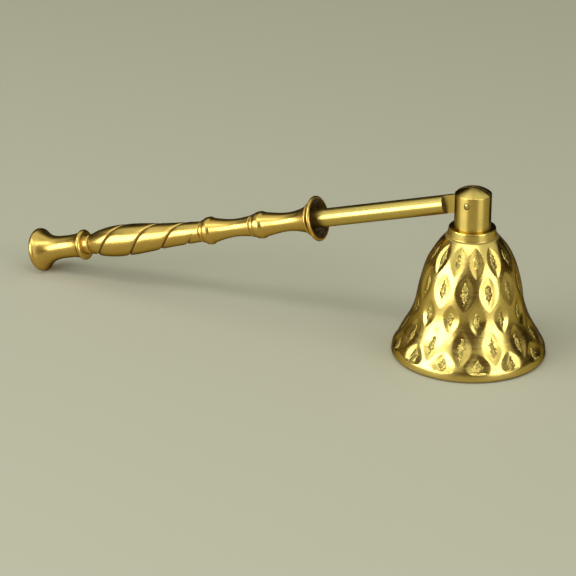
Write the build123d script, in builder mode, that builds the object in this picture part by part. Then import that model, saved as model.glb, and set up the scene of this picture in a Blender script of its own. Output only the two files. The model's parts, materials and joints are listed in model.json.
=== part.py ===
from build123d import *
from math import asin, atan2, cos, degrees, radians, sin, sqrt, tan
import os

# A table candle snuffer of turned and cast brass. A dimpled bell hangs from a slotted post, and a
# long turned handle swings on a pin through that post. Lengths are in millimetres, angles in degrees.
# The origin is the centre of the circle that the bell stands on, +Z runs up the bell's axis,
# and the handle leaves towards -X, tilted down until its knob touches the same table.

# Bell
rim_radius = 26.0
rim_round = 0.8
rim_band_height = 3.0
shoulder_height = 42.3
shoulder_radius = 8.6
collar_step = 0.55
collar_height = 2.9
collar_round = 0.4
bell_wall = 1.8
crown_drop = 1.1

# Leaves cut into the bell, counted round it and row by row from the collar down
leaf_count = 13
leaf_depth = 0.85
leaf_keel_radius = 3.0
leaf_wheel_overhang = 0.45
leaf_phase = 21.4
leaf_lengths = (10.4, 11.8, 8.8, 9.8, 7.6)
leaf_widths = (5.0, 6.2, 5.6, 6.3, 8.0)

# Clevis post
post_radius = 6.1
post_height = 11.7
dome_height = 2.2
slot_width = 1.8
slot_floor_height = 2.1
spigot_radius = 2.9
spigot_tail = 0.7
spigot_chamfer = 0.5
bore_clearance = 0.05

# Washer and nut inside the crown, the washer clear of the bell's inner wall
washer_gap = 1.4
washer_thickness = 0.9
nut_across_flats = 9.0
nut_height = 2.8
nut_chamfer = 0.4

# Pivot pin, on a level line across the bell's axis, below the edge of the post's dome
pin_drop = 2.8
pin_radius = 0.85

# Rod with a flat tongue in the post's slot, and how far it runs into the trumpet socket
rod_radius = 3.175
tongue_clearance = 0.15
shoulder_gap = 4.0
rod_seat = 6.9

# Stud that draws the handle together, and how deep it sits in the rod and in the knob
stud_radius = 1.5
stud_rod_depth = 9.0
stud_knob_depth = 11.7
stud_clearance = 0.1

# Handle pieces in order from the pin, each measured along the handle
mouth_distance = 57.6
socket_length = 25.9
link_length = 20.3
grip_length = 46.9
knob_length = 23.2

# Trumpet socket
mouth_radius = 7.8
mouth_lip = 0.45
mouth_flat = 0.25
mouth_cone_depth = 3.3
flare_length = 2.6
ring_radius = 5.6
ring_width = 1.1
trumpet_radius = 5.0
socket_waist_radius = 3.25

# Beads and collars at the seams of the stack
seam_groove = 0.45
seam_collar_radius = 4.05
seam_collar_length = 1.3
bead_step = 0.3
bead_foot_drop = 0.35
socket_bead_radius = 4.75
socket_bead_length = 4.5
link_bead_radius = 4.9
link_bead_length = 3.6
link_front_radius = 3.75
link_waist_radius = 3.13

# Spiral grip, with two grooves that cross its length at a steady angle
grip_front_radius = 3.55
grip_belly_radius = 5.65
grip_collar_length = 3.0
grip_tail_length = 1.2
grip_collar_step = 0.08
groove_depth = 0.5
groove_width = 1.4
groove_angle = 50.5
groove_phase = 119.5
strand_rounding = 0.12
spiral_steps = 30

# End knob
knob_front_radius = 3.9
knob_bead_radius = 5.5
knob_bead_length = 3.6
knob_bead_foot = 4.6
knob_neck_radius = 4.1
knob_flare_radius = 7.8
knob_lip = 1.3
knob_face_rise = 0.5

# How far a cutting solid runs past what it cuts
overrun = 1.0

# Outlines and places as shares of the sizes above
flank_shares = [
    (0.998, 0.030), (0.984, 0.074), (0.952, 0.113), (0.885, 0.190), (0.796, 0.284),
    (0.729, 0.380), (0.662, 0.574), (0.581, 0.759), (0.515, 0.851), (0.431, 0.929),
]
leaf_row_shares = (0.853, 0.628, 0.427, 0.215, 0.088)
bead_crest_share = 0.42
socket_waist_share = 0.51
link_waist_share = 0.44
grip_outline_shares = [
    (0.00, 0.00), (0.14, 0.19), (0.30, 0.38), (0.44, 0.66), (0.58, 0.91),
    (0.73, 1.00), (0.84, 0.84), (0.93, 0.48), (1.00, 0.04),
]
knob_waist_share = 0.37

# Slopes of the outlines, rise over run away from the pin
trumpet_slope = -0.41
socket_tail_slope = 0.16
link_front_slope = -0.19
link_tail_slope = 0.23
knob_neck_slope = -0.25
knob_flare_slope = 1.0

os.makedirs("parts", exist_ok=True)

# Heights up the bell and the post
collar_top = shoulder_height + collar_height
slot_floor = collar_top + slot_floor_height
post_top = collar_top + post_height
pivot_height = post_top - pin_drop

# Distances along the handle from the pin
tongue_reach = post_radius + shoulder_gap
rod_end = mouth_distance + rod_seat
link_start = mouth_distance + socket_length
grip_start = link_start + link_length
knob_start = grip_start + grip_length
handle_length = knob_start + knob_length
stud_start = rod_end - stud_rod_depth
stud_end = knob_start + stud_knob_depth

# The knob's lip rests on the table, which sets the tilt of the whole handle
lip_distance = handle_length - knob_lip
lip_offset = knob_flare_radius - knob_lip
rest_tilt = degrees(
    asin((pivot_height - knob_lip) / sqrt(lip_distance**2 + lip_offset**2))
    - atan2(lip_offset, lip_distance)
)
along_handle = Vector(-cos(radians(rest_tilt)), 0, -sin(radians(rest_tilt)))
above_handle = Vector(-sin(radians(rest_tilt)), 0, cos(radians(rest_tilt)))
pivot = Vector(0, 0, pivot_height)
handle_plane = Plane(origin=pivot, x_dir=along_handle, z_dir=(0, 1, 0))
handle_axis = Axis(pivot, along_handle)


def station(distance, turn=0.0):
    """The plane square to the handle at a distance from the pin, turned about the handle."""
    side = above_handle * cos(radians(turn)) - Vector(0, 1, 0) * sin(radians(turn))
    return Plane(origin=pivot + along_handle * distance, x_dir=side, z_dir=along_handle)


# Bell: one thin casting, its leaves cut by a wheel with a rounded V rim
flank_points = [(rim_radius * r, shoulder_height * z) for r, z in flank_shares]
flank_points.append((shoulder_radius, shoulder_height))
inner_points = [(r - bell_wall, z - crown_drop) for r, z in flank_points[2:]]
crown_radius, crown_height = inner_points[-1]
collar_radius = shoulder_radius - collar_step
standing_radius = rim_radius - rim_round

with BuildLine(Plane.XZ) as flank:
    Spline(*flank_points)


def leaf_wheel(row_share, length, width):
    """The wheel that cuts one leaf of this length and width at a share of the flank's length."""
    half_share = length / 2 / flank.edge().length
    seat = flank.line @ row_share
    rise = flank.line % row_share
    keel_point = seat - Vector(rise.Z, 0, -rise.X) * leaf_depth
    keel_line = ThreePointArc(
        flank.line @ (row_share - half_share), keel_point, flank.line @ (row_share + half_share)
    )
    hub = keel_line.arc_center
    outward = (hub - keel_point).normalized()
    slope = 2 * leaf_depth / width - width / (4 * seat.X)
    side = width / 2 + leaf_wheel_overhang
    across = Vector(0, 1, 0)
    rim_plane = Plane(origin=keel_point, x_dir=across, z_dir=across.cross(outward))
    with BuildPart() as wheel:
        with BuildSketch(rim_plane) as rim_profile:
            with BuildLine():
                Polyline(
                    (0, keel_line.radius),
                    (-side, keel_line.radius),
                    (-side, side * slope),
                    (0, 0),
                    (side, side * slope),
                    (side, keel_line.radius),
                    close=True,
                )
            make_face()
            fillet(rim_profile.vertices().sort_by_distance(keel_point)[0], leaf_keel_radius)
        revolve(axis=Axis(hub, across))
    return wheel.part


leaf_wheels = [leaf_wheel(*row) for row in zip(leaf_row_shares, leaf_lengths, leaf_widths)]

with BuildPart() as bell_blank:
    with BuildSketch(Plane.XZ):
        with BuildLine():
            Spline(*flank_points)
            Line((shoulder_radius, shoulder_height), (collar_radius, shoulder_height))
            Line((collar_radius, shoulder_height), (collar_radius, collar_top - collar_round))
            RadiusArc(
                (collar_radius, collar_top - collar_round),
                (collar_radius - collar_round, collar_top),
                -collar_round,
            )
            Line((collar_radius - collar_round, collar_top), (0, collar_top))
            Line((0, collar_top), (0, crown_height))
            Line((0, crown_height), inner_points[-1])
            Spline(*reversed(inner_points))
            Line(inner_points[0], (inner_points[0][0], 0))
            Line((inner_points[0][0], 0), (standing_radius, 0))
            ThreePointArc(
                (standing_radius, 0),
                (rim_radius - rim_round * (1 - sin(radians(45))), rim_round * (1 - cos(radians(45)))),
                (rim_radius, rim_round),
            )
            Line((rim_radius, rim_round), flank_points[0])
        make_face()
    revolve(axis=Axis.Z)

# The plain band round the rim, where the leaves end
with BuildPart() as rim_band:
    add(bell_blank.part)
    with BuildSketch():
        Circle(rim_radius + overrun)
    extrude(amount=rim_band_height, mode=Mode.INTERSECT)

with BuildPart() as bell:
    add(bell_blank.part)
    for row_number, wheel in enumerate(leaf_wheels):
        half_step = 180 / leaf_count * (row_number % 2)
        with PolarLocations(0, leaf_count, start_angle=leaf_phase + half_step):
            add(wheel, mode=Mode.SUBTRACT)
    add(rim_band.part)
    with BuildSketch(Plane.XY.offset(crown_height - overrun)):
        Circle(spigot_radius + bore_clearance)
    extrude(amount=collar_top - crown_height + 2 * overrun, mode=Mode.SUBTRACT)

# Clevis post: domed top, sawn slot, and a spigot through the crown
nut_bottom = crown_height - washer_thickness - nut_height
spigot_end = nut_bottom - spigot_tail
with BuildPart() as clevis_post:
    with BuildSketch(Plane.XZ):
        with BuildLine():
            Polyline(
                (0, spigot_end),
                (spigot_radius - spigot_chamfer, spigot_end),
                (spigot_radius, spigot_end + spigot_chamfer),
                (spigot_radius, collar_top),
                (post_radius, collar_top),
                (post_radius, post_top),
            )
            RadiusArc(
                (post_radius, post_top),
                (0, post_top + dome_height),
                -(post_radius**2 + dome_height**2) / (2 * dome_height),
            )
            Line((0, post_top + dome_height), (0, spigot_end))
        make_face()
    revolve(axis=Axis.Z)
    with BuildSketch(Plane.XY.offset(slot_floor)):
        Rectangle(2 * post_radius + 2 * overrun, slot_width)
    extrude(amount=post_height + dome_height, mode=Mode.SUBTRACT)
    with BuildSketch(handle_plane):
        Circle(pin_radius)
    extrude(amount=post_radius + overrun, both=True, mode=Mode.SUBTRACT)

with BuildPart() as crown_washer:
    with BuildSketch(Plane.XY.offset(crown_height - washer_thickness)):
        Circle(crown_radius - washer_gap)
        Circle(spigot_radius + bore_clearance, mode=Mode.SUBTRACT)
    extrude(amount=washer_thickness)

with BuildPart() as crown_nut:
    with BuildSketch(Plane.XY.offset(nut_bottom)):
        RegularPolygon(nut_across_flats / 2, 6, major_radius=False)
        Circle(spigot_radius, mode=Mode.SUBTRACT)
    extrude(amount=nut_height)
    chamfer(crown_nut.faces().sort_by(Axis.Z)[0].outer_wire().edges(), nut_chamfer)

# Pivot pin: driven through both ears and filed flush with the post
with BuildPart() as pivot_pin:
    with BuildSketch(handle_plane):
        Circle(pin_radius)
    extrude(amount=post_radius + overrun, both=True)
    with BuildSketch(Plane.XY.offset(collar_top)):
        Circle(post_radius)
    extrude(amount=post_height, mode=Mode.INTERSECT)

# Rod: round bar, milled to a tongue at the pin and tapped at the other end
tongue_thickness = slot_width - 2 * tongue_clearance
with BuildPart() as rod:
    with BuildSketch(handle_plane):
        Circle(rod_radius)
        with Locations((tongue_reach / 2, 0)):
            Rectangle(tongue_reach, 2 * rod_radius)
    extrude(amount=tongue_thickness / 2, both=True)
    with BuildSketch(station(-rod_radius)):
        Circle(rod_radius)
    extrude(amount=rod_radius + tongue_reach, mode=Mode.INTERSECT)
    with BuildSketch(station(tongue_reach)):
        Circle(rod_radius)
    extrude(amount=rod_end - tongue_reach)
    with BuildSketch(handle_plane):
        Circle(pin_radius + bore_clearance)
    extrude(amount=tongue_thickness, both=True, mode=Mode.SUBTRACT)
    with BuildSketch(station(rod_end)):
        Circle(stud_radius)
    extrude(amount=-stud_rod_depth - overrun, mode=Mode.SUBTRACT)

with BuildPart() as tie_stud:
    with BuildSketch(station(stud_start)):
        Circle(stud_radius)
    extrude(amount=stud_end - stud_start)

# Every handle piece is turned about the handle's axis, and its outline is drawn in distance and radius
stud_bore = stud_radius + stud_clearance


def open_seam(start, radius):
    """The front end of a piece: a flat face and the groove's slope up to the given radius."""
    Polyline((start, stud_bore), (start, radius - seam_groove), (start + seam_groove, radius))


def beaded_seam(end, crest_radius, bead_length):
    """A step up to a bead, the bead, a collar, the groove's slope and the flat face at the end."""
    bead_end = end - seam_collar_length
    bead_start = bead_end - bead_length
    foot = crest_radius - bead_foot_drop
    Line((bead_start, foot - bead_step), (bead_start, foot))
    ThreePointArc(
        (bead_start, foot),
        (bead_start + bead_crest_share * bead_length, crest_radius),
        (bead_end, seam_collar_radius),
    )
    Polyline(
        (bead_end, seam_collar_radius),
        (end - seam_groove, seam_collar_radius),
        (end, seam_collar_radius - seam_groove),
        (end, stud_bore),
    )


def waisted(front, waist, back, front_slope, back_slope):
    """A smooth neck from one point to another through its narrowest point."""
    Spline(front, waist, back, tangents=[(1, front_slope), (1, 0), (1, back_slope)])


# Trumpet socket: flared mouth round the rod, narrow waist, bead at the seam
with BuildPart() as trumpet_socket:
    lip_back = mouth_distance + 2 * mouth_lip
    ring_start = mouth_distance + flare_length
    ring_end = ring_start + ring_width
    ring_foot = ring_radius - ring_width / 2
    bead_start = link_start - seam_collar_length - socket_bead_length
    bead_foot = socket_bead_radius - bead_foot_drop - bead_step
    socket_waist = ring_end + socket_waist_share * (bead_start - ring_end)
    rod_bore = rod_radius + bore_clearance
    with BuildSketch(handle_plane):
        with BuildLine():
            ThreePointArc(
                (mouth_distance, mouth_radius - mouth_lip),
                (mouth_distance + mouth_lip, mouth_radius),
                (lip_back, mouth_radius - mouth_lip),
            )
            Spline(
                (lip_back, mouth_radius - mouth_lip),
                (ring_start, ring_foot),
                tangents=[(0, -1), (1, -1)],
            )
            ThreePointArc(
                (ring_start, ring_foot),
                (ring_start + ring_width / 2, ring_radius),
                (ring_end, ring_foot),
            )
            Line((ring_end, ring_foot), (ring_end, trumpet_radius))
            waisted(
                (ring_end, trumpet_radius),
                (socket_waist, socket_waist_radius),
                (bead_start, bead_foot),
                trumpet_slope,
                socket_tail_slope,
            )
            beaded_seam(link_start, socket_bead_radius, socket_bead_length)
            Polyline(
                (link_start, stud_bore),
                (rod_end, stud_bore),
                (rod_end, rod_bore),
                (mouth_distance + mouth_cone_depth, rod_bore),
                (mouth_distance, mouth_radius - mouth_lip - mouth_flat),
                (mouth_distance, mouth_radius - mouth_lip),
            )
        make_face()
    revolve(axis=handle_axis)

# Waist link: the shorter waisted piece between the socket and the grip
with BuildPart() as waist_link:
    body_start = link_start + seam_groove
    body_end = grip_start - seam_collar_length - link_bead_length
    with BuildSketch(handle_plane):
        with BuildLine():
            open_seam(link_start, link_front_radius)
            waisted(
                (body_start, link_front_radius),
                (body_start + link_waist_share * (body_end - body_start), link_waist_radius),
                (body_end, link_bead_radius - bead_foot_drop - bead_step),
                link_front_slope,
                link_tail_slope,
            )
            beaded_seam(grip_start, link_bead_radius, link_bead_length)
            Line((grip_start, stud_bore), (link_start, stud_bore))
        make_face()
    revolve(axis=handle_axis)

# Spiral grip: a plain collar, a lofted body whose two grooves wind round it, and a plain tail
grip_swell = grip_belly_radius - grip_front_radius
grip_body_length = grip_length - 2 * seam_groove
grip_points = [
    (grip_start + seam_groove + grip_body_length * along, grip_front_radius + grip_swell * out)
    for along, out in grip_outline_shares
]
with BuildLine() as grip_outline:
    Spline(*grip_points)

first_share = grip_collar_length / grip_length
last_share = 1 - grip_tail_length / grip_length
spiral_spots = [
    grip_outline.line @ (first_share + (last_share - first_share) * step / spiral_steps)
    for step in range(spiral_steps + 1)
]
spiral_turns = [groove_phase]
for before, after in zip(spiral_spots, spiral_spots[1:]):
    advance = tan(radians(groove_angle)) * (after.X - before.X) / ((after.Y + before.Y) / 2)
    spiral_turns.append(spiral_turns[-1] + degrees(advance))

with BuildPart() as spiral_grip:
    for spot, turn in zip(spiral_spots, spiral_turns):
        edge_radius = spot.Y - strand_rounding
        edge = Vector(edge_radius, 0).rotate(Axis.Z, degrees(groove_width / 2 / edge_radius))
        with BuildSketch(station(spot.X, turn)):
            with BuildLine():
                ThreePointArc(edge, (0, spot.Y), (-edge.X, edge.Y))
                Polyline((-edge.X, edge.Y), (groove_depth - edge_radius, 0), (-edge.X, -edge.Y))
                ThreePointArc((-edge.X, -edge.Y), (0, -spot.Y), (edge.X, -edge.Y))
                Polyline((edge.X, -edge.Y), (edge_radius - groove_depth, 0), edge)
            make_face()
    loft()
    with BuildSketch(handle_plane):
        with BuildLine():
            collar_end = spiral_spots[0]
            Polyline(
                (collar_end.X, 0),
                (grip_start, 0),
                (grip_start, grip_front_radius - seam_groove),
                (grip_start + seam_groove, grip_front_radius),
                (collar_end.X, collar_end.Y + grip_collar_step),
                close=True,
            )
        make_face()
        with BuildLine():
            tail_start = spiral_spots[-1]
            tail_radius = grip_points[-1][1]
            Polyline(
                (tail_start.X, 0),
                (tail_start.X, tail_start.Y + grip_collar_step),
                (knob_start - seam_groove, tail_radius),
                (knob_start, tail_radius - seam_groove),
                (knob_start, 0),
                close=True,
            )
        make_face()
    revolve(axis=handle_axis)
    with BuildSketch(station(grip_start - overrun)):
        Circle(stud_bore)
    extrude(amount=grip_length + 2 * overrun, mode=Mode.SUBTRACT)

# End knob: ring bead, neck and flared end, tapped for the stud
with BuildPart() as end_knob:
    bead_start = knob_start + seam_groove
    bead_end = bead_start + knob_bead_length
    lip_centre = handle_length - knob_lip
    lip_rise = knob_lip * sin(radians(45))
    lip_start = (lip_centre - lip_rise, lip_offset + lip_rise)
    tapping_end = stud_end + overrun
    with BuildSketch(handle_plane):
        with BuildLine():
            Polyline(
                (knob_start, stud_radius),
                (knob_start, knob_front_radius - seam_groove),
                (bead_start, knob_front_radius),
            )
            ThreePointArc(
                (bead_start, knob_front_radius),
                (bead_start + knob_bead_length / 2, knob_bead_radius),
                (bead_end, knob_bead_foot),
            )
            waisted(
                (bead_end, knob_bead_foot),
                (bead_end + knob_waist_share * (lip_start[0] - bead_end), knob_neck_radius),
                lip_start,
                knob_neck_slope,
                knob_flare_slope,
            )
            ThreePointArc(lip_start, (lip_centre, knob_flare_radius), (handle_length, lip_offset))
            RadiusArc(
                (handle_length, lip_offset),
                (handle_length + knob_face_rise, 0),
                (lip_offset**2 + knob_face_rise**2) / (2 * knob_face_rise),
            )
            Polyline(
                (handle_length + knob_face_rise, 0),
                (tapping_end, 0),
                (tapping_end, stud_radius),
                (knob_start, stud_radius),
            )
        make_face()
    revolve(axis=handle_axis)

pieces = {
    "bell": bell,
    "clevis_post": clevis_post,
    "crown_washer": crown_washer,
    "crown_nut": crown_nut,
    "pivot_pin": pivot_pin,
    "rod": rod,
    "tie_stud": tie_stud,
    "trumpet_socket": trumpet_socket,
    "waist_link": waist_link,
    "spiral_grip": spiral_grip,
    "end_knob": end_knob,
}
for name, piece in pieces.items():
    piece.part.label = name
    export_step(piece.part, f"parts/{name}.step")
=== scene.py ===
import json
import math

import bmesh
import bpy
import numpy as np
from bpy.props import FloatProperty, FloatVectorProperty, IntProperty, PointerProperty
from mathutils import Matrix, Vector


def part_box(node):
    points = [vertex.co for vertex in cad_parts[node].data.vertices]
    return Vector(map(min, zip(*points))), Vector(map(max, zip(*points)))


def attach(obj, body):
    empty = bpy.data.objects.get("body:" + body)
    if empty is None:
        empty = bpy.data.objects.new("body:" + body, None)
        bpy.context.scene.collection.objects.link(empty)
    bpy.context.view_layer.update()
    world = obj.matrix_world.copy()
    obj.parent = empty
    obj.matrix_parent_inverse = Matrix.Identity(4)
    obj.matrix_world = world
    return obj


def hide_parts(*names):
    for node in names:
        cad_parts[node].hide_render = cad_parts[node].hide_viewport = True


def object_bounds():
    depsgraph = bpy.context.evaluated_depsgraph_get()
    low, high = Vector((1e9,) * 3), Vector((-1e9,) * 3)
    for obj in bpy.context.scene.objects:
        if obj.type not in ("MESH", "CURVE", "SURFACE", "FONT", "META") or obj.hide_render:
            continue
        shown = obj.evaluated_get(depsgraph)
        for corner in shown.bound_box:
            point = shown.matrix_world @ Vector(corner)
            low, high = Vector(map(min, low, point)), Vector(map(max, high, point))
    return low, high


bl_info = {
    "name": "Candle Snuffer",
    "version": (1, 0, 0),
    "blender": (4, 5, 0),
    "location": "View3D > Sidebar > Snuffer",
    "description": "Dresses a brass candle snuffer with a leaf-cut bell and a spiral grip",
    "category": "Add Mesh",
}

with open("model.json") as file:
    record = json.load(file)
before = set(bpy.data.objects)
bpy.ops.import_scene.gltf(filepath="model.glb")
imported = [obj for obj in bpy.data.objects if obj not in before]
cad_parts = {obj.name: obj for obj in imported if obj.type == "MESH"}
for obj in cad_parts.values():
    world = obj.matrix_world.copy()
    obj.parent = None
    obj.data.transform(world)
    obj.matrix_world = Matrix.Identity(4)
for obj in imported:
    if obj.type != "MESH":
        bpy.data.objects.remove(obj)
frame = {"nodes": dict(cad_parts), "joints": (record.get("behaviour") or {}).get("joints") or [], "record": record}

# The packed frame: its box, the pin's middle and the way the handle runs from it
CAD_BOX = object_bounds()
PIVOT = np.array(frame["joints"][0]["pos_m"])
ALONG = np.array(next(m["axis"] for m in frame["record"]["mounts"] if m["name"] == "handle_grip"))
FRONT = np.array([0.0, -1.0, 0.0])
ABOVE = np.cross(ALONG, FRONT)
BELL_LOW, BELL_HIGH = (np.array(corner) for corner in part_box("bell"))
POST_LOW, POST_HIGH = (np.array(corner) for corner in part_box("clevis_post"))
WASHER_LOW, WASHER_HIGH = (np.array(corner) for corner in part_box("crown_washer"))
NUT_LOW, NUT_HIGH = (np.array(corner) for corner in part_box("crown_nut"))
PIN_LOW, PIN_HIGH = (np.array(corner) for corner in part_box("pivot_pin"))
MM = 0.001
FULL_TURN = 2 * math.pi

# Room left between pieces that fit, and how near to a cut a point counts as on it
FIT_GAP = 0.05 * MM
THREAD_GAP = 0.02 * MM
ON_CUT = 0.02 * MM

# How many columns go round a sleeve or the rod, the post, the nut or the washer, and the pin
COLUMNS = 112
POST_COLUMNS = 144
NUT_COLUMNS = 96
PIN_COLUMNS = 48

# How dark the painted shade is on the slot's walls and in the pin's hole, and on the rod's shoulder, from 0 to 1
CUT_SHADE = 0.95
SHOULDER_SHADE = 0.85


def length(name, description, millimetres):
    """A length that a user may change, its default in millimetres."""
    return FloatProperty(
        name=name, description=description, default=millimetres * MM, unit="LENGTH", precision=5
    )


def angle(name, description, degrees):
    """An angle that a user may change, its default in degrees."""
    return FloatProperty(
        name=name, description=description, default=math.radians(degrees), unit="ROTATION"
    )


def share(name, description, value):
    """A plain number that a user may change."""
    return FloatProperty(name=name, description=description, default=value)


def colour(name, description, value):
    """A colour that a user may change, in linear red, green and blue."""
    return FloatVectorProperty(
        name=name, description=description, default=value, size=3, min=0.0, max=1.0, subtype="COLOR"
    )


class BellSizes(bpy.types.PropertyGroup):
    """Sizes of the leaf-cut bell."""

    rim_round: length("Rim round", "Radius on the rim band's edges", 0.8)
    rim_band: length("Rim band", "Height of the plain band round the rim", 3.0)
    band_fade: length("Band fade", "Height over which the leaves fade into the band", 0.35)
    shoulder_height: length("Shoulder height", "Height where the flank meets the collar", 42.3)
    shoulder_radius: length("Shoulder radius", "Radius where the flank ends", 8.6)
    collar_radius: length("Collar radius", "Radius of the collar under the post, at its foot", 8.2)
    collar_taper: length("Collar taper", "How much narrower the collar is at its top", 0.4)
    corner_wear: length("Corner wear", "Wear on the bell's corners", 0.4)
    wall: length("Wall", "Distance from the flank in to the bell's inside", 1.8)
    crown_drop: length("Crown drop", "How much lower the inside runs than the flank", 1.1)
    leaf_count: IntProperty(name="Leaves", description="Leaves in each row", default=13, min=3)
    leaf_depth: length("Leaf depth", "Depth of a leaf at its middle", 0.5)
    leaf_phase: angle("Leaf phase", "Direction of the top row's first leaf", 21.4)


class PostSizes(bpy.types.PropertyGroup):
    """Sizes of the slotted post and what holds it."""

    dome_height: length("Dome height", "Rise of the post's domed top", 2.2)
    slot_width: length("Slot width", "Width of the sawn slot", 1.8)
    slot_floor: length("Slot floor", "Height of the slot's floor above the collar", 2.1)
    spigot_radius: length("Spigot radius", "Radius of the spigot through the crown", 2.9)
    spigot_chamfer: length("Spigot chamfer", "Bevel at the spigot's end", 0.5)
    pin_gap: length("Pin gap", "Dark ring between the pin and its hole", 0.12)
    pin_dome: length("Pin dome", "Rise of the pin's filed end", 0.15)
    pin_bulge: share("Pin bulge", "Share of the pin's rise that is gone half way out", 0.3)
    edge_round: length("Edge round", "Radius on the post's sawn edges", 0.16)
    corner_wear: length("Corner wear", "Wear on the post's turned corners", 0.2)


class HandleSizes(bpy.types.PropertyGroup):
    """Sizes of the rod and places of the turned pieces, along the handle from the pin."""

    rod_radius: length("Rod radius", "Radius of the round bar", 3.175)
    rod_end: length("Rod end", "Distance where the bar ends inside the socket", 64.5)
    tongue_thickness: length("Tongue thickness", "Thickness of the flat tongue in the slot", 1.5)
    tongue_reach: length("Tongue reach", "Distance from the pin to the bar's shoulder", 10.1)
    tongue_round: length("Tongue round", "Radius on the tongue's milled edges", 0.12)
    mouth: length("Mouth", "Distance of the trumpet socket's mouth", 57.6)
    link_start: length("Link start", "Distance of the first seam", 83.5)
    grip_start: length("Grip start", "Distance of the second seam", 103.8)
    knob_start: length("Knob start", "Distance of the third seam", 150.7)
    handle_end: length("Handle end", "Distance of the knob's lip", 173.9)
    stud_bore: length("Stud bore", "Radius of the bore for the stud", 1.6)
    corner_round: length("Corner round", "Wear on the turned corners", 0.14)


class SeamSizes(bpy.types.PropertyGroup):
    """Sizes shared by the beads and collars at the seams."""

    groove: length("Groove", "Depth and width of each side of a seam's groove", 0.45)
    collar_radius: length("Collar radius", "Radius of the collar beside a seam", 4.05)
    collar_length: length("Collar length", "Length of the collar beside a seam", 1.3)
    crest: share("Crest", "Where a bead is highest, as a share of its length", 0.4)


class SocketSizes(bpy.types.PropertyGroup):
    """Sizes of the trumpet socket."""

    mouth_radius: length("Mouth radius", "Radius over the mouth's lip", 7.8)
    mouth_lip: length("Mouth lip", "Radius of the round lip", 0.6)
    mouth_bore: length("Mouth bore", "Radius where the hollow of the mouth starts", 6.9)
    # Inside this radius the mouth's hollow is painted dark, as shade with tarnishing
    hollow: length("Hollow", "Radius inside which the mouth is dark", 6.3)
    cone_depth: length("Cone depth", "Depth of the hollow round the bar", 3.3)
    flare_length: length("Flare length", "Distance from the mouth to the ring behind it", 2.6)
    lip_slope: share("Lip slope", "Rise over run just behind the lip", -1.2)
    flare_slope: share("Flare slope", "Rise over run where the flare meets the ring", -0.5)
    ring_radius: length("Ring radius", "Radius of the ring behind the mouth", 5.6)
    ring_width: length("Ring width", "Width of the ring behind the mouth", 1.1)
    trumpet_radius: length("Trumpet radius", "Radius just behind the ring", 5.0)
    trumpet_slope: share("Trumpet slope", "Rise over run just behind the ring", -0.41)
    waist_radius: length("Waist radius", "Radius at the narrowest place", 3.25)
    waist: share("Waist", "Place of the waist between the ring and the bead", 0.51)
    tail_radius: length("Tail radius", "Radius where the bead starts", 4.2)
    tail_slope: share("Tail slope", "Rise over run where the bead starts", 0.16)
    bead_radius: length("Bead radius", "Radius of the bead's crest", 4.75)
    bead_length: length("Bead length", "Length of the bead", 4.2)


class LinkSizes(bpy.types.PropertyGroup):
    """Sizes of the waist link."""

    front_radius: length("Front radius", "Radius beside the first seam", 3.75)
    front_slope: share("Front slope", "Rise over run beside the first seam", -0.19)
    waist_radius: length("Waist radius", "Radius at the narrowest place", 3.13)
    waist: share("Waist", "Place of the waist between the seam and the bead", 0.44)
    tail_radius: length("Tail radius", "Radius where the bead starts", 4.3)
    tail_slope: share("Tail slope", "Rise over run where the bead starts", 0.23)
    bead_radius: length("Bead radius", "Radius of the bead's crest", 4.9)
    bead_length: length("Bead length", "Length of the bead", 3.6)


class GripSizes(bpy.types.PropertyGroup):
    """Sizes of the spiral grip."""

    front_radius: length("Front radius", "Radius at the front end", 3.55)
    belly_radius: length("Belly radius", "Radius at the thickest place", 5.65)
    collar_length: length("Collar length", "Plain length before the grooves start", 3.0)
    tail_length: length("Tail length", "Plain length after the grooves end", 1.0)
    groove_depth: length("Groove depth", "Depth of the two spiral grooves", 0.48)
    groove_width: length("Groove width", "Width of the two spiral grooves", 1.0)
    groove_angle: angle("Groove angle", "Slant of the grooves to the grip's length", 50.5)
    groove_phase: angle("Groove phase", "Direction in which the first groove starts", 91.5)
    band_depth: length("Band depth", "How much lower the bands lie beside the grooves", 0.17)
    band_width: length("Band width", "Width of the falls beside the grooves", 3.2)


class KnobSizes(bpy.types.PropertyGroup):
    """Sizes of the end knob."""

    front_radius: length("Front radius", "Radius beside the third seam", 3.6)
    bead_radius: length("Bead radius", "Radius of the bead's crest", 5.5)
    bead_gap: length("Bead gap", "Distance from the seam to the bead", 2.2)
    bead_length: length("Bead length", "Length of the bead", 2.4)
    crest: share("Crest", "Where the bead is highest, as a share of its length", 0.45)
    bead_foot: length("Bead foot", "Radius where the bead meets the neck", 4.7)
    neck_slope: share("Neck slope", "Rise over run where the neck starts", -0.28)
    neck_radius: length("Neck radius", "Radius at the narrowest place", 4.1)
    waist: share("Waist", "Place of the narrowest radius between the bead and the lip", 0.37)
    flare_radius: length("Flare radius", "Radius over the lip", 7.8)
    lip: length("Lip", "Radius of the round lip", 1.3)
    lip_slope: share("Lip slope", "Rise over run where the neck meets the lip", 1.0)
    face_rise: length("Face rise", "How far the end face bulges", 0.5)


class MetalColours(bpy.types.PropertyGroup):
    """Colours of the metal."""

    polished: colour("Polished", "Brass where it is polished", (0.655, 0.475, 0.115))
    warm: colour("Warm", "Brass where handling has warmed it", (0.61, 0.355, 0.070))
    edge: colour("Edge", "Tint of the brass seen at a glancing angle", (0.04, 0.015, 0.005))
    # Near black: tarnishing down in grooves, and painted shade on cut faces, in hollows and inside the bell
    tarnish_and_shade_colour: colour("Tarnish", "Dull metal down in grooves", (0.020, 0.006, 0.003))
    core: colour("Leaf core", "Stippled metal in the leaves", (0.24, 0.18, 0.035))
    steel: colour("Steel", "Drawn steel of the hidden stud", (0.42, 0.42, 0.43))
    bright_steel: colour("Bright steel", "Lighter streaks in the steel", (0.60, 0.60, 0.61))


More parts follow.
